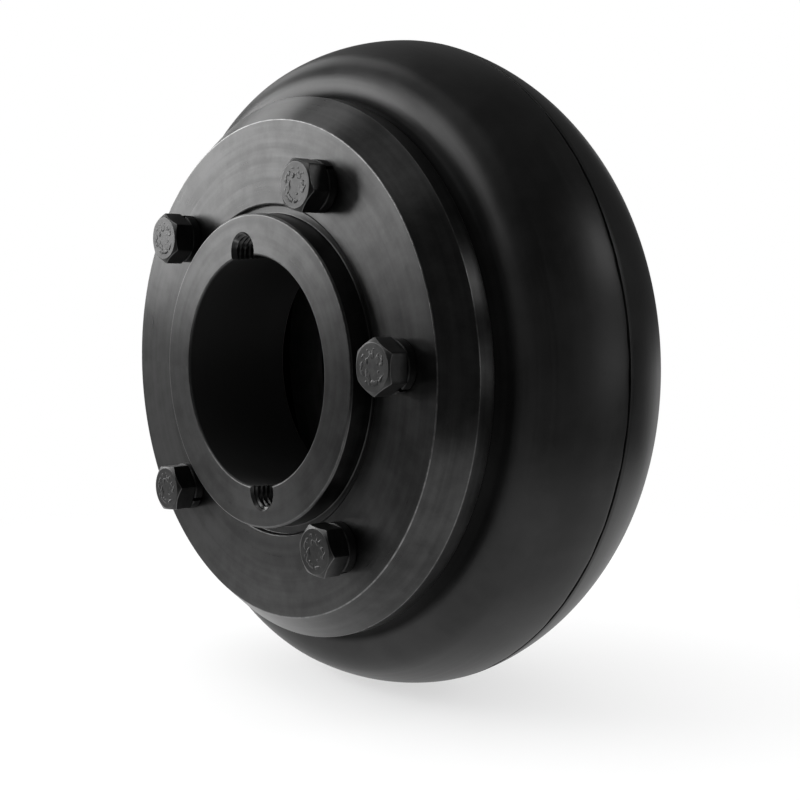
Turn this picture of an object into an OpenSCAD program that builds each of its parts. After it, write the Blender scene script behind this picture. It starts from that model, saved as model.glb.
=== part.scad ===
// Tyre coupling: two bored flanges joined by a moulded rubber tyre, whose beads are
// clamped to the flanges by inner rings and hexagon screws. Millimetres.
// The axis lies along Y through the origin, and the origin is the middle of the tyre.

/* [Tyre] */
// Outer diameter of the tyre over its crown
tyre_d = 235; // [228:1:242]
// Width of the tyre over its sidewalls
tyre_w = 62; // [58:0.5:65]
// Thickness of the rubber in the crown and the sidewalls
tyre_wall = 10.5; // [8:0.5:12]
// Radius of the arc across each half of the crown
crown_r = 56; // [50:1:66]
// Distance of that arc's centre past the middle plane, which leaves a faint ridge there
crown_ridge = 4; // [1:0.5:6]
// Radius of the shoulders
shoulder_r = 14; // [13:0.5:16]
// Least width of the flat part of the sidewall
sidewall_w = 1; // [0.5:0.5:2]
// Radius of the hollow between the sidewall and the flange's rim
neck_r = 4.5; // [4:0.5:6]
// Furthest that the hollow starts outside the flange's rim
neck_room = 3; // [2:0.5:5]
// Thickness of the clamped bead
bead_t = 9; // [8:0.5:10]
// Inner diameter of the beads
bead_d = 154; // [150:1:158]
// Width of the mould's parting line round the crown
parting_w = 0.8; // [0.4:0.1:1.2]
// Depth of the parting line
parting_depth = 0.6; // [0.3:0.1:1]
// Width of the one split across the tyre
split_w = 0.8; // [0.4:0.1:2]
// Place of the split round the axis, in degrees
split_angle = 180; // [0:5:355]

/* [Flanges] */
// Outer diameter of the rim
flange_d = 188; // [182:1:194]
// Diameter of the flat outer face
face_d = 171.4; // [164:0.2:176]
// Axial height of the cone between the face and the rim
cone_h = 9.8; // [6:0.2:12]
// Width of the straight land on the rim
land_w = 6.6; // [5:0.2:8]
// Thickness of the web that the screws pass through
web_t = 11; // [9:0.5:12]
// Slope of the face that the bead is clamped against, in degrees
clamp_angle = 13; // [8:1:16]
// Diameter of the hub
hub_d = 108; // [102:1:110]
// Length of the hub
hub_l = 45; // [43:0.5:47]
// Height of the hub's boss above the flat face
boss_h = 7.1; // [5:0.1:9]
// Space between the two hubs
hub_gap = 27; // [24:0.5:30]
// Width of the relief groove round the boss
groove_w = 3; // [2:0.2:4]
// Depth of the relief groove
groove_depth = 1.6; // [0.8:0.2:2.4]
// Width of the broken edges
edge_w = 0.6; // [0.3:0.1:1]

/* [Taper bore] */
// Diameter of the bore at its wide end, on the hub's inner face
bore_d = 85.7; // [80:0.1:88]
// Taper of the bore's wall, in degrees
bore_taper = 4; // [2:0.5:5]
// Diameter of the half holes that take the bush's screws
half_hole_d = 12.7; // [10:0.1:14]
// Diameter of the circle that the half holes lie on
half_hole_circle_d = 82.6; // [78:0.2:86]
// Place of the first half hole round the axis, in degrees
half_hole_angle = 97; // [0:1:179]
// Depth of the plain half hole for the bush's jacking screw, from the inner face
jacking_depth = 22; // [15:1:35]

/* [Clamp rings] */
// Outer diameter of a clamp ring
ring_d = 174; // [168:1:178]
// Thickness of a clamp ring
ring_t = 18; // [16:0.5:20]
// Width of a clamp ring's broken inner corner
ring_edge = 2; // [1:0.5:3]
// Space between a clamp ring and the hub
ring_hub_gap = 1.5; // [0.8:0.1:3]
// Space left between a clamp ring and the web
ring_web_gap = 1.8; // [1:0.1:2.5]

/* [Clamp screws] */
// Diameter of the circle that the screws lie on
screw_circle_d = 137; // [134:0.5:139]
// Place of each screw round the axis, in degrees
screw_angles = [4, 64, 137, 222, 305]; // [0:1:359]
// Turn of each screw's head, in degrees
head_turns = [29, -15, 31, 5, -5]; // [-60:1:60]
// Turn of the gap in each spring washer, in degrees
washer_turns = [-58, 40, 75, -30, -62]; // [-180:1:180]
// Diameter of a screw's shank
screw_d = 10; // [8:0.5:11]
// Length of a screw under its head
screw_l = 30; // [27:0.5:32]
// Length of the chamfer on a screw's tip
tip_chamfer = 1; // [0.5:0.1:1.5]
// Width of a screw's head across its flats
head_af = 16; // [15:0.5:17]
// Diameter of the flat top of a screw's head
head_top_d = 15; // [13:0.1:15]
// Slope of the chamfer round that top, in degrees
head_slope = 30; // [15:1:30]
// Height of a screw's head
head_h = 7.4; // [6:0.1:9]
// Outer diameter of a spring washer
washer_d = 17.2; // [16:0.1:19]
// Thickness of a spring washer
washer_t = 3.4; // [2:0.1:4]
// Width of the gap in a spring washer
washer_gap = 1.4; // [0.8:0.1:2.5]

/* [Clearances] */
// Space between the bead and the metal on each side of it
bead_clearance = 0.3; // [0.2:0.05:0.4]
// Radial space round a screw in the web
hole_clearance = 0.5; // [0.3:0.1:0.8]
// Radial space round a screw in its thread
thread_clearance = 0.1; // [0.05:0.05:0.15]
// Radial space between a spring washer and its screw
washer_clearance = 0.15; // [0.1:0.05:0.3]

/* [Hidden] */
$fn = 96;
cut = 1; // how far a cutting shape runs past what it cuts
round_share = 0.55; // handle of a cubic curve that follows a quarter circle, as a share of its radius

NEAR = 1;
FAR = -1;
screw_count = len(screw_angles);

// A section is drawn as [distance from the axis, distance from the middle plane].

// Flange
hub_r = hub_d / 2;
rim_r = flange_d / 2;
face_r = face_d / 2;
hub_in = hub_gap / 2;
hub_out = hub_in + hub_l;
face_out = hub_out - boss_h;
web_in = face_out - web_t;
cone_end = face_out - cone_h;
rim_in = cone_end - land_w;
bore_in_r = bore_d / 2;
bore_out_r = bore_in_r - hub_l * tan(bore_taper);
half_hole_count = 2;

// Bead and the faces that clamp it
bead_r = bead_d / 2;
function clamp_face(r) = rim_in + (rim_r - r) * tan(clamp_angle);
function bead_outer(r) = clamp_face(r) - bead_clearance;
function bead_inner(r) = bead_outer(r) - bead_t;
function ring_flank(r) = bead_inner(r) - bead_clearance;

// Clamp ring
ring_r = ring_d / 2;
ring_bore_r = hub_r + ring_hub_gap;
ring_register_r = bead_r - bead_clearance;
ring_out = web_in - ring_web_gap;
ring_in = ring_out - ring_t;

// Tyre
tyre_r = tyre_d / 2;
tyre_side = tyre_w / 2;
crown_c = [tyre_r - sqrt(pow(crown_r, 2) - pow(crown_ridge, 2)), -crown_ridge];
shoulder_s = tyre_side - shoulder_r;
shoulder_c = [
    crown_c[0] + sqrt(pow(crown_r - shoulder_r, 2) - pow(shoulder_s + crown_ridge, 2)),
    shoulder_s
];
neck_start = min(shoulder_c[0] - sidewall_w, rim_r + neck_room);
neck_end = neck_start - neck_r;
neck_handle = round_share * neck_r;
crown_turn = atan2(shoulder_c[1] - crown_c[1], shoulder_c[0] - crown_c[0]);
function crown_start(radius) = asin((crown_ridge + parting_w / 2) / radius);
crown_steps = 8;
shoulder_steps = 12;
neck_steps = 10;
shoulder_step = (90 - crown_turn) / (shoulder_steps + 1);

// Screw
screw_r = screw_d / 2;
screw_circle_r = screw_circle_d / 2;
screw_seat = face_out + washer_t;
head_sides = 6;
head_corner_r = head_af / 2 / cos(180 / head_sides);
head_top_r = head_top_d / 2;
head_chamfer = (head_corner_r - head_top_r) * tan(head_slope);

black_steel = "#3a3b3d";
black_screw = "#2c2d2f";
black_rubber = "#1b1b1c";

// Turns a half's own axis, +Z, outwards along the coupling's axis
module on_side(side) {
    rotate([side * 90, 0, 0])
        children();
}

// Places what is drawn on the axis at one screw
module at_screw(index, height) {
    rotate([0, 0, screw_angles[index]])
        translate([screw_circle_r, 0, height])
            rotate([0, 0, -screw_angles[index]])
                children();
}

// Points along an arc, in even steps
function arc(centre, radius, from, to, steps) = [
    for (i = [0 : steps])
        let (a = from + (to - from) * i / steps)
            centre + radius * [cos(a), sin(a)]
];

// Points along a cubic curve from a to d, which leaves towards b and arrives from c
function curve(a, b, c, d, steps) = [
    for (i = [0 : steps])
        let (t = i / steps, u = 1 - t)
            u * u * u * a + 3 * u * u * t * b + 3 * u * t * t * c + t * t * t * d
];

// The hollow that leads from the sidewall in under the flange's rim
function neck_curve() = let (
    top = [neck_start, tyre_side],
    foot = [neck_end, bead_outer(neck_end)]
) curve(top, top - [neck_handle, 0], foot - [0, neck_handle], foot, neck_steps);

// One half of the tyre's section, from the parting line round the outside and back inside
function tyre_half_outline() = concat(
    [[tyre_r - parting_depth, parting_w / 2]],
    arc(crown_c, crown_r, crown_start(crown_r), crown_turn, crown_steps),
    arc(shoulder_c, shoulder_r, crown_turn + shoulder_step, 90, shoulder_steps),
    neck_curve(),
    [
        [bead_r, bead_outer(bead_r)],
        [bead_r, bead_inner(bead_r)],
        [ring_r, bead_inner(ring_r)]
    ],
    arc(shoulder_c, shoulder_r - tyre_wall, 90, crown_turn + shoulder_step, shoulder_steps),
    arc(crown_c, crown_r - tyre_wall, crown_turn, crown_start(crown_r - tyre_wall), crown_steps)
);

module tyre_section() {
    half = tyre_half_outline();
    other_half = [for (i = [len(half) - 1 : -1 : 0]) [half[i][0], -half[i][1]]];
    polygon(concat(half, other_half));
}

module tyre() {
    color(black_rubber)
        on_side(NEAR)
            difference() {
                rotate_extrude()
                    tyre_section();
                rotate([0, 0, split_angle])
                    translate([0, -split_w / 2, -hub_out])
                        cube([tyre_r + cut, split_w, 2 * hub_out]);
            }
}

module flange_section() {
    polygon([
        [bore_in_r + edge_w, hub_in],
        [bore_in_r - edge_w * tan(bore_taper), hub_in + edge_w],
        [bore_out_r, hub_out - edge_w],
        [bore_out_r + edge_w, hub_out],
        [hub_r - edge_w, hub_out],
        [hub_r, hub_out - edge_w],
        [hub_r, face_out - groove_depth],
        [hub_r + groove_w, face_out - groove_depth],
        [hub_r + groove_w, face_out],
        [face_r, face_out],
        [rim_r, cone_end],
        [rim_r, rim_in + edge_w],
        [rim_r - edge_w, clamp_face(rim_r - edge_w)],
        [ring_register_r, clamp_face(ring_register_r)],
        [ring_register_r, web_in],
        [hub_r, web_in],
        [hub_r, hub_in + edge_w],
        [hub_r - edge_w, hub_in]
    ]);
}

module flange() {
    difference() {
        rotate_extrude()
            flange_section();
        for (turn = [0 : half_hole_count - 1])
            rotate([0, 0, half_hole_angle + turn * 360 / half_hole_count])
                translate([half_hole_circle_d / 2, 0, hub_in - cut])
                    cylinder(d = half_hole_d, h = hub_l + 2 * cut);
        rotate([0, 0, half_hole_angle - 180 / half_hole_count])
            translate([half_hole_circle_d / 2, 0, hub_in - cut])
                cylinder(d = half_hole_d, h = jacking_depth + cut);
        for (index = [0 : screw_count - 1])
            at_screw(index, web_in - cut)
                cylinder(r = screw_r + hole_clearance, h = web_t + 2 * cut);
    }
}

module clamp_ring_section() {
    polygon([
        [ring_bore_r, ring_in],
        [ring_r - ring_edge, ring_in],
        [ring_r, ring_in + ring_edge],
        [ring_r, ring_flank(ring_r)],
        [ring_register_r, ring_flank(ring_register_r)],
        [ring_register_r, ring_out - edge_w],
        [ring_register_r - edge_w, ring_out],
        [ring_bore_r, ring_out]
    ]);
}

module clamp_ring() {
    difference() {
        rotate_extrude()
            clamp_ring_section();
        for (index = [0 : screw_count - 1])
            at_screw(index, ring_in - cut)
                cylinder(r = screw_r + thread_clearance, h = ring_t + 2 * cut);
    }
}

module screw_head() {
    intersection() {
        cylinder(r = head_corner_r, h = head_h, $fn = head_sides);
        rotate_extrude()
            polygon([
                [0, 0],
                [head_corner_r, 0],
                [head_corner_r, head_h - head_chamfer],
                [head_top_r, head_h],
                [0, head_h]
            ]);
    }
}

module clamp_screw(index) {
    at_screw(index, screw_seat) {
        rotate([0, 0, head_turns[index]])
            screw_head();
        translate([0, 0, -screw_l + tip_chamfer])
            cylinder(r = screw_r, h = screw_l - tip_chamfer);
        translate([0, 0, -screw_l])
            cylinder(r1 = screw_r - tip_chamfer, r2 = screw_r, h = tip_chamfer);
    }
}

module spring_washer(index) {
    at_screw(index, face_out)
        difference() {
            cylinder(d = washer_d, h = washer_t);
            translate([0, 0, -cut])
                cylinder(r = screw_r + washer_clearance, h = washer_t + 2 * cut);
            rotate([0, 0, washer_turns[index]])
                translate([0, -washer_gap / 2, -cut])
                    cube([washer_d, washer_gap, washer_t + 2 * cut]);
        }
}

module near_flange() {
    color(black_steel)
        on_side(NEAR)
            flange();
}

module far_flange() {
    color(black_steel)
        on_side(FAR)
            flange();
}

module near_clamp_ring() {
    color(black_steel)
        on_side(NEAR)
            clamp_ring();
}

module far_clamp_ring() {
    color(black_steel)
        on_side(FAR)
            clamp_ring();
}

module near_clamp_screw(index) {
    color(black_screw)
        on_side(NEAR)
            clamp_screw(index);
}

module far_clamp_screw(index) {
    color(black_screw)
        on_side(FAR)
            clamp_screw(index);
}

module near_spring_washer(index) {
    color(black_screw)
        on_side(NEAR)
            spring_washer(index);
}

module far_spring_washer(index) {
    color(black_screw)
        on_side(FAR)
            spring_washer(index);
}

tyre();
near_flange();
far_flange();
near_clamp_ring();
far_clamp_ring();
for (index = [0 : screw_count - 1]) {
    near_clamp_screw(index);
    far_clamp_screw(index);
    near_spring_washer(index);
    far_spring_washer(index);
}
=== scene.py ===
"""Looks of a tyre coupling: turned black steel flanges, hexagon screws and a moulded rubber tyre.

Each half is drawn in its own frame, with +Z outwards along the coupling's axis and Z = 0 on the middle plane,
and then turned onto its side. Lengths in the tables below are millimetres, and meshes are metres.
"""
import math

import bmesh
import bpy
from mathutils import Matrix, Vector


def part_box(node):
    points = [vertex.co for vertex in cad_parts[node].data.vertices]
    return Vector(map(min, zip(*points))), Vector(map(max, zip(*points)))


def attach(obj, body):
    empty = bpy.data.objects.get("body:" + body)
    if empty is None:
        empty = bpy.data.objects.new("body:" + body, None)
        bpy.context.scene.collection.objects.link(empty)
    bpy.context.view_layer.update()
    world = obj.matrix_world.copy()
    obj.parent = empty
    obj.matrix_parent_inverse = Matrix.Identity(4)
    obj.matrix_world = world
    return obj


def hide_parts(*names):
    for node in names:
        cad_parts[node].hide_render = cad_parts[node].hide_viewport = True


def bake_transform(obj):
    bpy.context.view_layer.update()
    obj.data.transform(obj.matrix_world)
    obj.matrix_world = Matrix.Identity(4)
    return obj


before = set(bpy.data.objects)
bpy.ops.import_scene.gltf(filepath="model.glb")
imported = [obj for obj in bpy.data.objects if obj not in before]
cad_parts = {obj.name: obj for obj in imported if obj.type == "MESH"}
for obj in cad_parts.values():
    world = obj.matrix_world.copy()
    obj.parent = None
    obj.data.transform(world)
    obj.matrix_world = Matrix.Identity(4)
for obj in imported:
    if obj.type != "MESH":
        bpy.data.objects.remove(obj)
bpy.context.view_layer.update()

MM = 0.001
SIDES = {"near": 1, "far": -1}

# Sizes that the frame gives
FLANGE_LOW, FLANGE_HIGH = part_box("near_flange")
WASHER_LOW, WASHER_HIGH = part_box("near_spring_washer_1")
SCREW_LOW, SCREW_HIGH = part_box("near_clamp_screw_1")
TYRE_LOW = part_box("tyre")[0]
RIM_R = FLANGE_HIGH.x / MM
HUB_OUT = -FLANGE_LOW.y / MM
HUB_IN = -FLANGE_HIGH.y / MM
FACE_OUT = -WASHER_HIGH.y / MM
WASHER_T = (WASHER_HIGH.y - WASHER_LOW.y) / MM
HEAD_H = -SCREW_LOW.y / MM - FACE_OUT - WASHER_T
SCREW_L = FACE_OUT + WASHER_T + SCREW_HIGH.y / MM
FLOOR_Z = TYRE_LOW.z

# Flange section, in millimetres
FACE_R = 85.7
CONE_H = 9.8
LAND_W = 6.6
WEB_T = 11.0
CLAMP_ANGLE = math.radians(13)
HUB_R = 54.0
GROOVE_W = 3.0
GROOVE_DEPTH = 1.6
EDGE_W = 0.6
EDGE_R = 0.45
GROOVE_EDGE_R = 1.4
REGISTER_R = 76.7
BORE_IN_R = 42.85
BORE_TAPER = math.radians(4)
BORE_OUT_R = BORE_IN_R - (HUB_OUT - HUB_IN) * math.tan(BORE_TAPER)
CONE_END = FACE_OUT - CONE_H
RIM_IN = CONE_END - LAND_W
WEB_IN = FACE_OUT - WEB_T

# Half holes in the bore's wall
HALF_HOLE_R = 6.35
HALF_HOLE_CIRCLE_R = 41.3
HALF_HOLE_ANGLE = math.radians(97)
JACKING_DEPTH = 22.0
THREAD_PITCH = 1.95
THREAD_DEPTH = 0.95
THREAD_SLOPE = 1.6
MOUTH_CHAMFER = 0.5
CUT_PAST = 1.0

# Screws and spring washers; the lists are in degrees
SCREW_CIRCLE_R = 68.5
SCREW_ANGLES = [4, 64, 137, 222, 305]
HEAD_TURNS = [29, -15, 31, 5, -5]
WASHER_TURNS = [-58, 40, 75, -30, -62]
SCREW_R = 5.0
SCREW_CHAMFER = 1.0
HOLE_R = 5.5
HEAD_AF = 16.0
HEAD_TOP_R = 7.5
HEAD_SLOPE = math.radians(30)
HEAD_EDGE_R = 0.25
STAMPED_R = (2.6, 5.6)
STAMPED_FADE = 0.4
WASHER_R = 8.6
WASHER_BORE_R = 5.15
WASHER_GAP = 1.4

# Tyre section
TYRE_R = 117.5
TYRE_SIDE = 31.0
TYRE_WALL = 10.5
CROWN_R = 56.0
CROWN_RIDGE = 4.0
CROWN_START = 1.8
SHOULDER_R = 14.0
SIDEWALL_W = 1.0
NECK_R = 4.5
NECK_ROOM = 3.0
ROUND_SHARE = 0.55
BEAD_R = 77.0
BEAD_T = 9.0
BEAD_EDGE = 0.5
BEAD_CLEARANCE = 0.3
RING_R = 87.0
SPLIT_W = 0.8
SPLIT_ANGLE = math.pi

# Steps round a turn and along an arc, and the radius at which an outline ends on its axis
FLANGE_TURN = 288
TYRE_TURN = 384
SCREW_TURN = 144
WASHER_TURN = 96
THREAD_TURN = 48
HOLE_TURN = 32
THREAD_STEPS = 6
CROWN_STEPS = 22
SHOULDER_STEPS = 20
NECK_STEPS = 12
INSIDE_STEPS = 8
INSIDE_POINTS = 2 * INSIDE_STEPS + 3
AXIS_R = 0.01

# The most of the shorter side at a corner that the corner's round takes, alone and with the point beyond it
ROUND_LIMIT = 0.4
SUPPORT_LIMIT = 0.45

# Steel: noise scales per metre, the spacing of turning marks in millimetres, and a bore's wall's painted
# shade tone
CLOUD_SCALE = 38.0
MOTTLE_SCALE = 150.0
CHIP_SCALE = 420.0
STAMP_SCALE = 520.0
SPECK_SCALE = 900.0
FINE_MARKS = 0.45
COARSE_MARKS = 2.6
BORE_SHADE_TONE = 0.004

# Rubber: the same, then its tones, its gloss, its roughness, and the valley beside the rim, in millimetres
# from the rim, where painted shade keeps only a share of that gloss
RUBBER_CLOUD_SCALE = 26.0
PIT_SCALE = 320.0
GRAIN_SCALE = 1500.0
MOULD_MARKS = 1.1
RUBBER_TONES = (0.001, 0.003)
RUBBER_GLOSS = (0.28, 0.4)
RUBBER_ROUGHNESS = 0.25
VALLEY = (1.5, 4.5)
RIM_SHADE_GLOSS = 0.15

# Camera, as fitted to the picture's circles; lengths in millimetres, and the clip distances in metres
CAMERA_AZIMUTH = math.radians(48.66)
CAMERA_ELEVATION = math.radians(4.92)
CAMERA_DISTANCE = 490.3
CAMERA_ASIDE = 6.89
CAMERA_RAISED = -13.04
CAMERA_LENS = 59.25
CAMERA_SENSOR = 36.0
CAMERA_CLIP = (0.01, 50.0)

# Studio: the azimuth of the white sweep and of the floor before it, and how far to each side they are
# fully lit and end; then how bright the dim room, its ceiling and the fill are beside them
WALL = (math.radians(155), math.radians(33), math.radians(42))
GROUND = (math.radians(148), math.radians(54), math.radians(80))
ROOM_LIGHT = 0.09
CEILING_LIGHT = 0.07
FILL_LIGHT = 1.0

# Heights, as sines of the elevation, between which the sweep falls to its upper level and the room turns
# into its ceiling
WALL_FADE = (0.22, 0.31)
WALL_UPPER = 0.1
CEILING_FADE = (0.5, 0.9)

# Floor: its paper's tone, the share of white that is seen on it near the coupling, and sizes in metres
PAPER = 0.93
GLOW = 0.6
NEAR_FADE = (0.2, 0.42)
FLOOR_R = 6.0
FLOOR_SIDES = 64

# Lamps: azimuth anticlockwise from +X and elevation in degrees, distance and size in metres, power in watts
LAMPS = {
    "left": (211, 15.5, 1.2, (0.75, 0.6), 9.0),
    "front_left": (246, 33, 1.2, (0.5, 0.5), 3.2),
    "right_card": (24, 1, 1.3, (0.4, 0.3), 1.0),
    "above_right": (34, 30, 1.3, (0.27, 0.27), 1.5),
    "above_front": (275, 68, 1.3, (0.8, 0.6), 0.8),
    "above_back": (195, 60, 1.3, (0.4, 0.4), 0.75),
    "back_left": (174, 37, 1.3, (0.45, 0.45), 1.1),
}


# Outlines

def arc(centre, radius, start, end, steps):
    """Points along an arc, in even steps."""
    turns = [start + (end - start) * i / steps for i in range(steps + 1)]
    return [(centre[0] + radius * math.cos(t), centre[1] + radius * math.sin(t)) for t in turns]


def cubic(a, b, c, d, steps):
    """Points along a cubic curve from a to d."""
    points = []
    for i in range(steps + 1):
        t = i / steps
        u = 1 - t
        weights = (u * u * u, 3 * u * u * t, 3 * u * t * t, t * t * t)
        points.append(tuple(sum(w * p[k] for w, p in zip(weights, (a, b, c, d))) for k in range(2)))
    return points


def rounded(corners, radius, steps=3, support=0.15, closed=True):
    """An outline with its corners rounded, as (r, z, wear). A corner is (r, z), or (r, z, wear, radius).

    A point lies close beyond each end of a round, so that the flats beside it keep their own normals.
    """
    stated = [corner[2:] or (0.0, radius) for corner in corners]
    corners = [corner[:2] for corner in corners]
    outline = []
    count = len(corners)
    for i, corner in enumerate(corners):
        if not closed and i in (0, count - 1):
            outline.append((*corner, 0.0))
            continue
        here = Vector(corner)
        back = Vector(corners[i - 1]) - here
        ahead = Vector(corners[(i + 1) % count]) - here
        turn = math.pi - back.angle(ahead)
        wear, round_r = stated[i]
        shorter = min(back.length, ahead.length)
        reach = min(round_r * math.tan(turn / 2), ROUND_LIMIT * shorter)
        margin = min(support, SUPPORT_LIMIT * shorter - reach)
        start = here + back.normalized() * reach
        end = here + ahead.normalized() * reach
        outline.append((*(start + back.normalized() * margin), 0.0))
        for k in range(steps + 1):
            t = k / steps
            point = (1 - t) ** 2 * start + 2 * t * (1 - t) * here + t * t * end
            outline.append((*point, wear))
        outline.append((*(end + ahead.normalized() * margin), 0.0))
    return outline


def same(outline):
    """An outline that doesn't change on its way round."""
    return lambda angle: outline


# Meshes

def lathe(name, outline_at, segments, start=0.0, gap=0.0, shut=0, closed=True):
    """Turns an outline round local Z. outline_at(angle) gives (r, z, wear) points in millimetres.

    A gap is a straight slot of that width at the start angle, with its two walls capped. It narrows to
    nothing at the outline's first and last points, as many as shut says.
    """
    mesh = bmesh.new()
    wear = mesh.verts.layers.float.new("wear")
    rings = []
    for i in range(segments + (1 if gap else 0)):
        share = i / segments
        ring = []
        outline = outline_at(start + 2 * math.pi * share)
        for k, (r, z, worn) in enumerate(outline):
            width = gap if shut <= k < len(outline) - shut else 0.0
            half = math.asin(min(1.0, width / 2 / r))
            angle = start + half + (2 * math.pi - 2 * half) * share
            vert = mesh.verts.new((r * math.cos(angle) * MM, r * math.sin(angle) * MM, z * MM))
            vert[wear] = worn
            ring.append(vert)
        rings.append(ring)
    turns = len(rings) if not gap else len(rings) - 1
    points = len(rings[0])
    for i in range(turns):
        here, there = rings[i], rings[(i + 1) % len(rings)]
        for k in range(points if closed else points - 1):
            k2 = (k + 1) % points
            mesh.faces.new((here[k], there[k], there[k2], here[k2]))
    if gap:
        mesh.faces.new(rings[0])
        mesh.faces.new(reversed(rings[-1]))
    if not closed:
        mesh.faces.new([ring[0] for ring in reversed(rings)])
        mesh.faces.new([ring[-1] for ring in rings])
    bmesh.ops.recalc_face_normals(mesh, faces=mesh.faces)
    data = bpy.data.meshes.new(name)
    mesh.to_mesh(data)
    mesh.free()
    return data


def shade(data, sharp_angle=math.radians(35)):
    """Smooth shading, with edges sharper than that kept as edges."""
    data.shade_smooth()
    data.set_sharp_from_angle(angle=sharp_angle)
    return data


def place(name, data, material, body, node, matrix=Matrix.Identity(4)):
    """Makes a piece that stands for a CAD node and moves with its body."""
    piece = bpy.data.objects.new(name, data)
    bpy.context.scene.collection.objects.link(piece)
    piece.matrix_world = matrix
    data.materials.clear()
    data.materials.append(material)
    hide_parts(node)
    if body:
        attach(piece, body)
    return piece


def on_side(side):
    """Turns a half's own +Z outwards along the coupling's axis."""
    return Matrix.Rotation(math.radians(90) * side, 4, "X")


def at_screw(index, height):
    """Where a screw's own axis meets a height over the middle plane."""
    angle = math.radians(SCREW_ANGLES[index])
    x, y = SCREW_CIRCLE_R * math.cos(angle), SCREW_CIRCLE_R * math.sin(angle)
    return Matrix.Translation(Vector((x, y, height)) * MM)


# Flanges

def clamp_face(r):
    """Height of the flange's clamping face at a radius."""
    return RIM_IN + (RIM_R - r) * math.tan(CLAMP_ANGLE)


def flange_outline():
    return rounded([
        (BORE_IN_R + EDGE_W, HUB_IN),
        (BORE_IN_R - EDGE_W * math.tan(BORE_TAPER), HUB_IN + EDGE_W),
        (BORE_OUT_R, HUB_OUT - EDGE_W),
        (BORE_OUT_R + EDGE_W, HUB_OUT, 0.3, EDGE_R),
        (HUB_R - EDGE_W, HUB_OUT, 0.4, EDGE_R),
        (HUB_R, HUB_OUT - EDGE_W, 0.3, EDGE_R),
        (HUB_R, FACE_OUT - GROOVE_DEPTH),
        (HUB_R + GROOVE_W, FACE_OUT - GROOVE_DEPTH),
        (HUB_R + GROOVE_W, FACE_OUT, 0.0, GROOVE_EDGE_R),
        (FACE_R, FACE_OUT, 1.0, EDGE_R),
        (RIM_R, CONE_END, 0.5, EDGE_R),
        (RIM_R, RIM_IN + EDGE_W, 0.4, EDGE_R),
        (RIM_R - EDGE_W, clamp_face(RIM_R - EDGE_W), 0.4, EDGE_R),
        (REGISTER_R, clamp_face(REGISTER_R)),
        (REGISTER_R, WEB_IN),
        (HUB_R, WEB_IN),
        (HUB_R, HUB_IN + EDGE_W),
        (HUB_R - EDGE_W, HUB_IN),
    ], radius=EDGE_R)


def thread_outline(angle, low, high):
    """A threaded rod's outline at one angle, from low to high, with a chamfer at its high end."""
    count = round((high - low) / THREAD_PITCH * THREAD_STEPS)
    outline = [(AXIS_R, low, 0.0)]
    for i in range(count + 1):
        z = low + (high - low) * i / count
        wave = (z / THREAD_PITCH - angle / (2 * math.pi)) % 1.0
        r = HALF_HOLE_R - THREAD_DEPTH * min(1.0, THREAD_SLOPE * abs(2 * wave - 1))
        r = max(r, HALF_HOLE_R + MOUTH_CHAMFER - max(0.0, HUB_OUT - z))
        outline.append((r, z, 0.0))
    outline.append((AXIS_R, high, 0.0))
    return outline


def rod_outline(radius, low, high):
    return [(AXIS_R, low, 0.0), (radius, low, 0.0), (radius, high, 0.0), (AXIS_R, high, 0.0)]


def cutter(name, outline_at, segments, matrix):
    data = lathe(name, outline_at, segments, closed=False)
    data.transform(matrix)
    piece = bpy.data.objects.new(name, data)
    bpy.context.scene.collection.objects.link(piece)
    return piece


def flange_cutters():
    """The half holes in the bore and the holes for the screws, as solids to take away."""
    cutters = []
    arm = Matrix.Translation((HALF_HOLE_CIRCLE_R * MM, 0, 0))

    def threaded(angle):
        return thread_outline(angle, HUB_IN - CUT_PAST, HUB_OUT + CUT_PAST)

    for turn in range(2):
        matrix = Matrix.Rotation(HALF_HOLE_ANGLE + turn * math.pi, 4, "Z") @ arm
        cutters.append(cutter(f"half_hole_{turn}", threaded, THREAD_TURN, matrix))
    matrix = Matrix.Rotation(HALF_HOLE_ANGLE - math.pi / 2, 4, "Z") @ arm
    plain = same(rod_outline(HALF_HOLE_R, HUB_IN - CUT_PAST, HUB_IN + JACKING_DEPTH))
    cutters.append(cutter("jacking_hole", plain, THREAD_TURN, matrix))
    plain = same(rod_outline(HOLE_R, WEB_IN - CUT_PAST, FACE_OUT + CUT_PAST))
    for index in range(len(SCREW_ANGLES)):
        cutters.append(cutter(f"screw_hole_{index}", plain, HOLE_TURN, at_screw(index, 0)))
    return cutters


def cut_away(piece, cutters):
    """The piece's mesh with the cutters taken away; the cutters are removed."""
    collection = bpy.data.collections.new("cutters")
    for item in cutters:
        collection.objects.link(item)
    cut = piece.modifiers.new("holes", "BOOLEAN")
    cut.operation = "DIFFERENCE"
    cut.operand_type = "COLLECTION"
    cut.collection = collection
    cut.solver = "EXACT"
    graph = bpy.context.evaluated_depsgraph_get()
    data = bpy.data.meshes.new_from_object(piece.evaluated_get(graph))
    for item in cutters:
        bpy.data.objects.remove(item)
    bpy.data.collections.remove(collection)
    bpy.data.objects.remove(piece)
    return data


def flange_mesh():
    turned = lathe("flange_blank", same(flange_outline()), FLANGE_TURN)
    blank = bpy.data.objects.new("flange_blank", turned)
    bpy.context.scene.collection.objects.link(blank)
    return shade(cut_away(blank, flange_cutters()))


# Screws and washers

def hexagon(angle, sharpness=70):
    """Distance of a hexagon's side from its centre at one angle, with its corners slightly rounded."""
    sides = [max(0.0, math.cos(angle - i * math.pi / 3 - math.pi / 6)) for i in range(6)]
    return HEAD_AF / 2 / sum(s ** sharpness for s in sides) ** (1 / sharpness)


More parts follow.
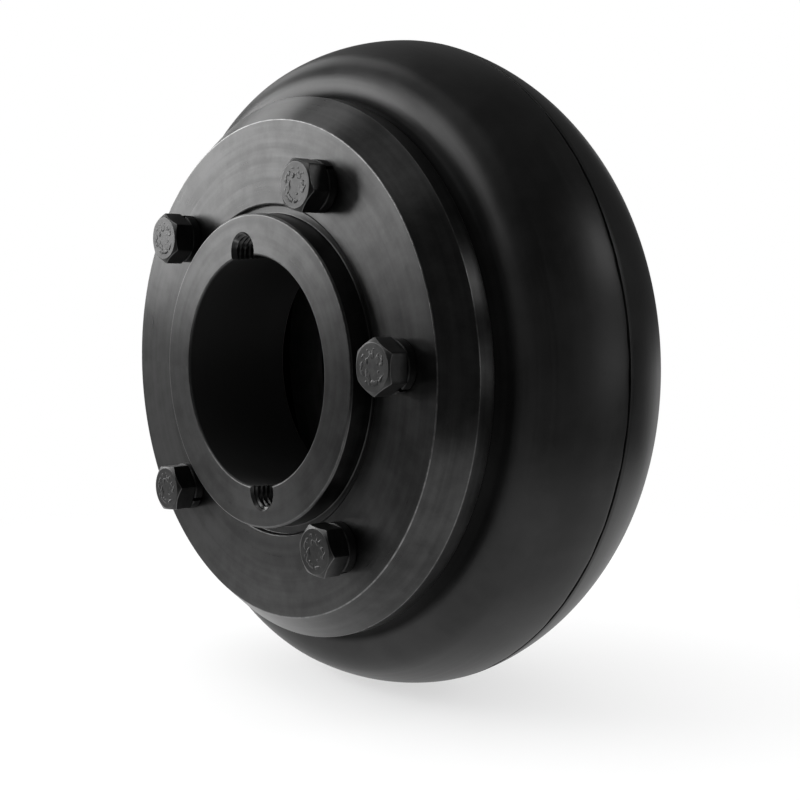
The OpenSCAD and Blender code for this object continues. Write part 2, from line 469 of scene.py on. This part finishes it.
def screw_outline(angle):
    """A screw from its end to the top of its head, at one angle; Z = 0 is under the head."""
    side = hexagon(angle)
    top = HEAD_H - (side - HEAD_TOP_R) * math.tan(HEAD_SLOPE)
    return rounded([
        (AXIS_R, HEAD_H),
        (HEAD_TOP_R, HEAD_H, 0.3, HEAD_EDGE_R),
        (side, top, 0.8, HEAD_EDGE_R),
        (side, 0.0),
        (SCREW_R, 0.0),
        (SCREW_R, -SCREW_L + SCREW_CHAMFER),
        (SCREW_R - SCREW_CHAMFER, -SCREW_L),
        (AXIS_R, -SCREW_L),
    ][::-1], radius=HEAD_EDGE_R, support=0.1, closed=False)


def washer_outline():
    return rounded([
        (WASHER_BORE_R, WASHER_T),
        (WASHER_BORE_R, 0.0),
        (WASHER_R, 0.0),
        (WASHER_R, WASHER_T, 0.3, EDGE_R),
    ], radius=EDGE_R)


# Tyre

def wander(angle, *waves):
    """A smooth value from about -1 to 1 that drifts round the tyre, made of (waves per turn, phase) pairs."""
    return sum(math.sin(n * angle + phase) for n, phase in waves) / len(waves)


def parting_points(angle):
    """The parting line with its trimmed flash, from the far half to the near one, as (depth, z)."""
    ragged = wander(angle, (7, 0.3), (19, 1.1), (43, 2.0), (67, 0.4))
    lean = wander(angle, (3, 0.9), (11, 2.2), (29, 0.1))
    groove = 1.0 + 0.35 * lean
    width = 0.8 + 0.35 * ragged
    return [
        (0.0, -1.0),
        (0.08, -0.7),
        (0.05, -0.3),
        (0.12, -0.1),
        (groove, 0.05),
        (groove, width - 0.1),
        (0.1, width + 0.1),
        (0.04, width + 0.35),
    ]


def bead_outer(r):
    """Height of the bead's outer face at a radius."""
    return clamp_face(r) - BEAD_CLEARANCE


def crown_radius(z):
    """The crown's radius at a distance from the middle plane."""
    centre = TYRE_R - math.sqrt(CROWN_R ** 2 - CROWN_RIDGE ** 2)
    return centre + math.sqrt(CROWN_R ** 2 - (abs(z) + CROWN_RIDGE) ** 2)


def tyre_half():
    """One half of the tyre's section, from beside the parting line round the outside and back inside."""
    crown = (TYRE_R - math.sqrt(CROWN_R ** 2 - CROWN_RIDGE ** 2), -CROWN_RIDGE)
    rise = TYRE_SIDE - SHOULDER_R
    reach = math.sqrt((CROWN_R - SHOULDER_R) ** 2 - (rise + CROWN_RIDGE) ** 2)
    shoulder = (crown[0] + reach, rise)
    turn = math.atan2(shoulder[1] - crown[1], shoulder[0] - crown[0])
    quarter = math.pi / 2
    neck = min(shoulder[0] - SIDEWALL_W, RIM_R + NECK_ROOM)
    top = (neck, TYRE_SIDE)
    foot = (neck - NECK_R, bead_outer(neck - NECK_R))
    handle = ROUND_SHARE * NECK_R
    outer_start = math.asin((CROWN_RIDGE + CROWN_START) / CROWN_R)
    inner_start = math.asin((CROWN_RIDGE + CROWN_START) / (CROWN_R - TYRE_WALL))
    return (
        arc(crown, CROWN_R, outer_start, turn, CROWN_STEPS)[:-1]
        + arc(shoulder, SHOULDER_R, turn, quarter, SHOULDER_STEPS)
        + cubic(top, (neck - handle, TYRE_SIDE), (foot[0], foot[1] - handle), foot, NECK_STEPS)
        + [(BEAD_R + BEAD_EDGE, bead_outer(BEAD_R)), (BEAD_R, bead_outer(BEAD_R) - BEAD_EDGE)]
        + [(BEAD_R, bead_outer(BEAD_R) - BEAD_T), (RING_R, bead_outer(RING_R) - BEAD_T)]
        + arc(shoulder, SHOULDER_R - TYRE_WALL, quarter, turn, INSIDE_STEPS)[:-1]
        + arc(crown, CROWN_R - TYRE_WALL, turn, inner_start, INSIDE_STEPS)
    )


def tyre_mesh():
    half = tyre_half()
    near = [(r, z, 0.0) for r, z in half]
    far = [(r, -z, 0.0) for r, z in reversed(half)]

    def outline(angle):
        parting = [(crown_radius(z) - depth, z, 0.0) for depth, z in parting_points(angle)]
        return far + parting + near

    skin = lathe("tyre_skin", outline, TYRE_TURN, start=SPLIT_ANGLE, gap=SPLIT_W, shut=INSIDE_POINTS)
    return shade(skin)


# Materials

class Graph:
    """A material's or the world's node tree, with short ways to add to it."""

    def __init__(self, tree):
        self.tree = tree
        tree.nodes.clear()

    def add(self, kind, inputs=None, **settings):
        node = self.tree.nodes.new(kind)
        for key, value in settings.items():
            setattr(node, key, value)
        for key, value in (inputs or {}).items():
            self.put(node.inputs[key], value)
        return node

    def put(self, socket, value):
        if isinstance(value, bpy.types.NodeSocket):
            self.tree.links.new(value, socket)
        else:
            socket.default_value = value

    def math(self, operation, *values):
        node = self.add("ShaderNodeMath", operation=operation)
        for socket, value in zip(node.inputs, values):
            self.put(socket, value)
        return node.outputs[0]

    def vector(self, operation, output, *values):
        node = self.add("ShaderNodeVectorMath", operation=operation)
        for socket, value in zip(node.inputs, values):
            self.put(socket, value)
        return node.outputs[output]

    def noise(self, vector, scale, detail=3.0, roughness=0.55):
        inputs = {"Vector": vector, "Scale": scale, "Detail": detail, "Roughness": roughness}
        return self.add("ShaderNodeTexNoise", inputs).outputs["Fac"]

    def ramp(self, value, low, high, to_low=0.0, to_high=1.0):
        inputs = {"Value": value, "From Min": low, "From Max": high, "To Min": to_low, "To Max": to_high}
        return self.add("ShaderNodeMapRange", inputs, interpolation_type="SMOOTHSTEP").outputs[0]

    def mix(self, factor, a, b):
        node = self.add("ShaderNodeMix", {"Factor": factor}, data_type="RGBA")
        self.put(node.inputs["A"], a)
        self.put(node.inputs["B"], b)
        return node.outputs["Result"]

    def bump(self, height, strength, distance, normal=None):
        node = self.add("ShaderNodeBump", {"Height": height, "Strength": strength, "Distance": distance})
        if normal:
            self.put(node.inputs["Normal"], normal)
        return node.outputs["Normal"]


def grey(value):
    return (value, value, value, 1.0)


def polar(graph, axis):
    """Object coordinates, and radius, height and angle round an axis of the object."""
    point = graph.add("ShaderNodeTexCoord").outputs["Object"]
    xyz = graph.add("ShaderNodeSeparateXYZ", {"Vector": point}).outputs
    across, height = (xyz["Z"], xyz["Y"]) if axis == "Y" else (xyz["Y"], xyz["Z"])
    squares = [graph.math("MULTIPLY", value, value) for value in (xyz["X"], across)]
    radius = graph.math("SQRT", graph.math("ADD", *squares))
    angle = graph.math("ARCTAN2", across, xyz["X"])
    return point, radius, height, angle


def turning_marks(graph, radius, height, angle, spacing):
    """Fine lines that run round the axis, as a tool leaves them, and slowly change on their way round."""
    inputs = {
        "X": graph.math("MULTIPLY", radius, 1 / spacing),
        "Y": graph.math("MULTIPLY", height, 1 / spacing),
        "Z": graph.math("MULTIPLY", angle, 1.3),
    }
    vector = graph.add("ShaderNodeCombineXYZ", inputs).outputs[0]
    return graph.noise(vector, 1.0, detail=2.0)


def bore_share(graph, radius, height):
    """1 on the wall of a flange's taper bore, and 0 outside it."""
    depth = graph.math("SUBTRACT", graph.math("ABSOLUTE", height), HUB_IN * MM)
    wall = graph.math("SUBTRACT", BORE_IN_R * MM, graph.math("MULTIPLY", depth, math.tan(BORE_TAPER)))
    return graph.ramp(graph.math("SUBTRACT", radius, wall), 0.1 * MM, 0.3 * MM, 1.0, 0.0)


def stamped_relief(graph, point, radius, height):
    """Worn raised marks on the middle of a screw head's top, of no set shape."""
    marks = graph.ramp(graph.noise(point, STAMP_SCALE, detail=1.0), 0.5, 0.62)
    inner, outer = STAMPED_R
    starts = graph.ramp(radius, (inner - STAMPED_FADE) * MM, (inner + STAMPED_FADE) * MM)
    ends = graph.ramp(radius, (outer - STAMPED_FADE) * MM, (outer + STAMPED_FADE) * MM, 1.0, 0.0)
    band = graph.math("MULTIPLY", starts, ends)
    on_top = graph.ramp(height, (HEAD_H - 0.1) * MM, (HEAD_H - 0.02) * MM)
    return graph.math("MULTIPLY", marks, graph.math("MULTIPLY", band, on_top))


def steel(name, axis, base, worn, roughness, anisotropy, metal=1.0, bored=False, stamped=False):
    """Black steel with turning marks, uneven blacking and worn edges; a bore's wall is painted shade, matt
    and black.
    """
    material = bpy.data.materials.new(name)
    material.use_nodes = True
    graph = Graph(material.node_tree)
    point, radius, height, angle = polar(graph, axis)
    fine = turning_marks(graph, radius, height, angle, FINE_MARKS * MM)
    coarse = turning_marks(graph, radius, height, angle, COARSE_MARKS * MM)
    cloud = graph.noise(point, CLOUD_SCALE, detail=5.0, roughness=0.6)
    speck = graph.noise(point, SPECK_SCALE, detail=2.0)
    edge = graph.add("ShaderNodeAttribute", attribute_name="wear").outputs["Fac"]
    chipped = graph.ramp(graph.noise(point, CHIP_SCALE, detail=3.0), 0.38, 0.62)
    rubbed = graph.math("MULTIPLY", edge, graph.math("ADD", graph.math("MULTIPLY", chipped, 0.5), 0.5))
    mottle = graph.noise(point, MOTTLE_SCALE, detail=6.0, roughness=0.7)
    shares = ((cloud, 0.4), (coarse, 0.3), (mottle, 0.3))
    parts = [graph.math("MULTIPLY", value, share) for value, share in shares]
    tone = graph.math("ADD", graph.math("ADD", parts[0], parts[1]), parts[2])
    blacked = graph.mix(graph.ramp(tone, 0.36, 0.64), grey(base * 0.75), grey(base * 1.25))
    # Painted shade: a bore's wall is made near-black, matt and less metallic, standing in for the shade
    # inside the bore.
    inside = bore_share(graph, radius, height) if bored else 0.0
    shaded = graph.mix(inside, blacked, grey(BORE_SHADE_TONE))
    colour = graph.mix(rubbed, shaded, grey(worn))
    smear = graph.math("ADD", graph.math("MULTIPLY", cloud, 0.16), graph.math("MULTIPLY", fine, 0.1))
    dull = graph.math("ADD", smear, roughness - 0.13)
    dull = graph.math("ADD", dull, graph.math("MULTIPLY", inside, 0.35))
    metallic = graph.math("MULTIPLY", graph.math("SUBTRACT", 1.0, inside), metal)
    lines = graph.bump(fine, 0.1, 0.02 * MM)
    normal = graph.bump(speck, 0.06, 0.02 * MM, lines)
    if stamped:
        normal = graph.bump(stamped_relief(graph, point, radius, height), 0.8, 0.25 * MM, normal)
    tangent = graph.add("ShaderNodeTangent", direction_type="RADIAL", axis=axis).outputs[0]
    shader = graph.add("ShaderNodeBsdfPrincipled", {
        "Base Color": colour,
        "Metallic": metallic,
        "Roughness": dull,
        "Anisotropic": anisotropy,
        "Anisotropic Rotation": 0.25,
        "Specular IOR Level": 0.2,
        "Tangent": tangent,
        "Normal": normal,
    })
    graph.add("ShaderNodeOutputMaterial", {"Surface": shader.outputs[0]})
    return material


def rubber(name):
    """Moulded black rubber: satin, faintly streaked by the turned mould, with painted shade in the rim's
    valley, where its gloss is cut.
    """
    material = bpy.data.materials.new(name)
    material.use_nodes = True
    graph = Graph(material.node_tree)
    point, radius, height, angle = polar(graph, "Y")
    streak = turning_marks(graph, radius, height, angle, MOULD_MARKS * MM)
    cloud = graph.noise(point, RUBBER_CLOUD_SCALE, detail=5.0, roughness=0.6)
    grain = graph.noise(point, GRAIN_SCALE, detail=2.0)
    pit = graph.noise(point, PIT_SCALE, detail=3.0)
    tone = graph.math("ADD", graph.math("MULTIPLY", cloud, 0.7), graph.math("MULTIPLY", streak, 0.3))
    colour = graph.mix(graph.ramp(tone, 0.35, 0.65), *map(grey, RUBBER_TONES))
    smear = graph.math("ADD", graph.math("MULTIPLY", cloud, 0.18), graph.math("MULTIPLY", streak, 0.1))
    dull = graph.math("ADD", smear, RUBBER_ROUGHNESS)
    # Painted shade: the gloss falls to a share of itself in the valley beside the rim, standing in for the
    # shade there.
    valley_start, valley_end = [(RIM_R + reach) * MM for reach in VALLEY]
    rim_shade = graph.ramp(radius, valley_start, valley_end, RIM_SHADE_GLOSS, 1.0)
    gloss = graph.math("MULTIPLY", graph.ramp(cloud, 0.3, 0.7, *RUBBER_GLOSS), rim_shade)
    lines = graph.bump(streak, 0.12, 0.05 * MM)
    pits = graph.bump(pit, 0.08, 0.1 * MM, lines)
    normal = graph.bump(grain, 0.12, 0.03 * MM, pits)
    shader = graph.add("ShaderNodeBsdfPrincipled", {
        "Base Color": colour,
        "Roughness": dull,
        "Specular IOR Level": gloss,
        "Normal": normal,
    })
    graph.add("ShaderNodeOutputMaterial", {"Surface": shader.outputs[0]})
    return material


# Studio

def seen_directly(graph):
    """1 for rays that come from the camera, a reflection or a refraction."""
    path = graph.add("ShaderNodeLightPath").outputs
    seen = graph.math("MAXIMUM", path["Is Camera Ray"], path["Is Glossy Ray"])
    return graph.math("MAXIMUM", seen, path["Is Transmission Ray"])


def lit_share(graph, point, azimuth, full, end):
    """1 where a point's azimuth lies within full of the lit one, and 0 where it lies beyond end."""
    level = graph.vector("MULTIPLY", "Vector", point, (1.0, 1.0, 0.0))
    way = graph.vector("NORMALIZE", "Vector", level)
    facing = graph.vector("DOT_PRODUCT", "Value", way, (math.cos(azimuth), math.sin(azimuth), 0.0))
    return graph.ramp(facing, math.cos(end), math.cos(full))


def make_world():
    """A studio with a lit white sweep behind and to the left, and a dim room above and in front."""
    world = bpy.data.worlds.new("studio")
    bpy.context.scene.world = world
    world.use_nodes = True
    graph = Graph(world.node_tree)
    direction = graph.add("ShaderNodeTexCoord").outputs["Generated"]
    height = graph.add("ShaderNodeSeparateXYZ", {"Vector": direction}).outputs["Z"]
    lower = graph.ramp(height, *WALL_FADE, 1.0, WALL_UPPER)
    lit = graph.math("MULTIPLY", lit_share(graph, direction, *WALL), lower)
    room = graph.ramp(height, *CEILING_FADE, ROOM_LIGHT, CEILING_LIGHT)
    shown = graph.math("ADD", lit, graph.math("MULTIPLY", graph.math("SUBTRACT", 1.0, lit), room))
    seen = seen_directly(graph)
    strength = graph.math("ADD", graph.math("MULTIPLY", seen, shown),
                          graph.math("MULTIPLY", graph.math("SUBTRACT", 1.0, seen), FILL_LIGHT))
    background = graph.add("ShaderNodeBackground", {"Color": grey(1.0), "Strength": strength})
    graph.add("ShaderNodeOutputWorld", {"Surface": background.outputs[0]})


def make_floor():
    """A pale floor that the coupling stands on, which fades into the sweep or the room far off."""
    data = bpy.data.meshes.new("floor")
    turns = [2 * math.pi * i / FLOOR_SIDES for i in range(FLOOR_SIDES)]
    ring = [(FLOOR_R * math.cos(a), FLOOR_R * math.sin(a), FLOOR_Z) for a in turns]
    data.from_pydata(ring, [], [list(range(FLOOR_SIDES))])
    floor = bpy.data.objects.new("floor", data)
    bpy.context.scene.collection.objects.link(floor)
    material = bpy.data.materials.new("paper")
    material.use_nodes = True
    graph = Graph(material.node_tree)
    point = graph.add("ShaderNodeTexCoord").outputs["Object"]
    length = graph.vector("LENGTH", "Value", point)
    far = graph.ramp(length, *NEAR_FADE)
    glow = graph.math("ADD", graph.math("MULTIPLY", far, 1 - GLOW), GLOW)
    paper = graph.add("ShaderNodeBsdfDiffuse", {"Color": grey(PAPER)}).outputs[0]
    unlit = graph.math("SUBTRACT", 1.0, lit_share(graph, point, *GROUND))
    dimming = graph.math("MULTIPLY", graph.math("MULTIPLY", unlit, far), 1 - ROOM_LIGHT)
    strength = graph.math("SUBTRACT", 1.0, dimming)
    white = graph.add("ShaderNodeEmission", {"Color": grey(1.0), "Strength": strength}).outputs[0]
    share = graph.math("MULTIPLY", glow, seen_directly(graph))
    surface = graph.add("ShaderNodeMixShader", {"Fac": share, 1: paper, 2: white}).outputs[0]
    graph.add("ShaderNodeOutputMaterial", {"Surface": surface})
    data.materials.append(material)


def softbox(name, azimuth, elevation, distance, size, power):
    """A soft lamp that looks at the coupling's middle."""
    lamp = bpy.data.lights.new(name, "AREA")
    lamp.shape = "RECTANGLE"
    lamp.size, lamp.size_y = size
    lamp.energy = power
    a, e = math.radians(azimuth), math.radians(elevation)
    way = Vector((math.cos(a) * math.cos(e), math.sin(a) * math.cos(e), math.sin(e)))
    item = bpy.data.objects.new(name, lamp)
    item.location = way * distance
    item.rotation_euler = way.to_track_quat("Z", "Y").to_euler()
    item.visible_camera = False
    bpy.context.scene.collection.objects.link(item)


def make_camera():
    """A camera that stands where the picture's did."""
    a, e = CAMERA_AZIMUTH, CAMERA_ELEVATION
    back = Vector((math.sin(a) * math.cos(e), -math.cos(a) * math.cos(e), math.sin(e)))
    right = Vector((math.cos(a), math.sin(a), 0))
    up = back.cross(right)
    data = bpy.data.cameras.new("camera")
    data.lens = CAMERA_LENS
    data.sensor_width = CAMERA_SENSOR
    data.clip_start, data.clip_end = CAMERA_CLIP
    camera = bpy.data.objects.new("camera", data)
    target = right * CAMERA_ASIDE + up * CAMERA_RAISED
    rotation = Matrix((right, up, back)).transposed().to_4x4()
    camera.matrix_world = Matrix.Translation((target + back * CAMERA_DISTANCE) * MM) @ rotation
    bpy.context.scene.collection.objects.link(camera)
    bpy.context.scene.camera = camera


# The coupling

bpy.context.scene.view_settings.view_transform = "Standard"
flange_steel = steel("flange_steel", "Y", base=0.043, worn=0.16, roughness=0.31, anisotropy=0.6, bored=True)
ring_steel = steel("ring_steel", "Y", base=0.07, worn=0.2, roughness=0.42, anisotropy=0.5, metal=0.3)
screw_steel = steel("screw_steel", "Z", base=0.038, worn=0.12, roughness=0.36, anisotropy=0.2, stamped=True)
washer_steel = steel("washer_steel", "Z", base=0.022, worn=0.06, roughness=0.48, anisotropy=0.4)
tyre_rubber = rubber("tyre_rubber")

tyre_data = tyre_mesh()
tyre_data.transform(on_side(SIDES["near"]))
tyre = place("tyre_skin", tyre_data, tyre_rubber, None, "tyre")
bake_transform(tyre)

flange_data = flange_mesh()
screw_data = shade(lathe("clamp_screw", screw_outline, SCREW_TURN, closed=False))
for half, side in SIDES.items():
    body = half + "_half"
    turned = on_side(side)
    data = flange_data.copy()
    data.transform(turned)
    place(half + "_flange_body", data, flange_steel, body, half + "_flange")
    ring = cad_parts[half + "_clamp_ring"]
    ring.data.materials.clear()
    ring.data.materials.append(ring_steel)
    for index in range(len(SCREW_ANGLES)):
        number = str(index + 1)
        matrix = turned @ at_screw(index, FACE_OUT + WASHER_T)
        matrix = matrix @ Matrix.Rotation(math.radians(HEAD_TURNS[index]), 4, "Z")
        place(half + "_screw_" + number, screw_data, screw_steel, body,
              half + "_clamp_screw_" + number, matrix)
        washer = lathe("spring_washer", same(washer_outline()), WASHER_TURN,
                       start=math.radians(WASHER_TURNS[index]), gap=WASHER_GAP)
        place(half + "_washer_" + number, shade(washer), washer_steel, body,
              half + "_spring_washer_" + number, turned @ at_screw(index, FACE_OUT))

make_world()
make_floor()
make_camera()
for lamp_name, settings in LAMPS.items():
    softbox(lamp_name, *settings)
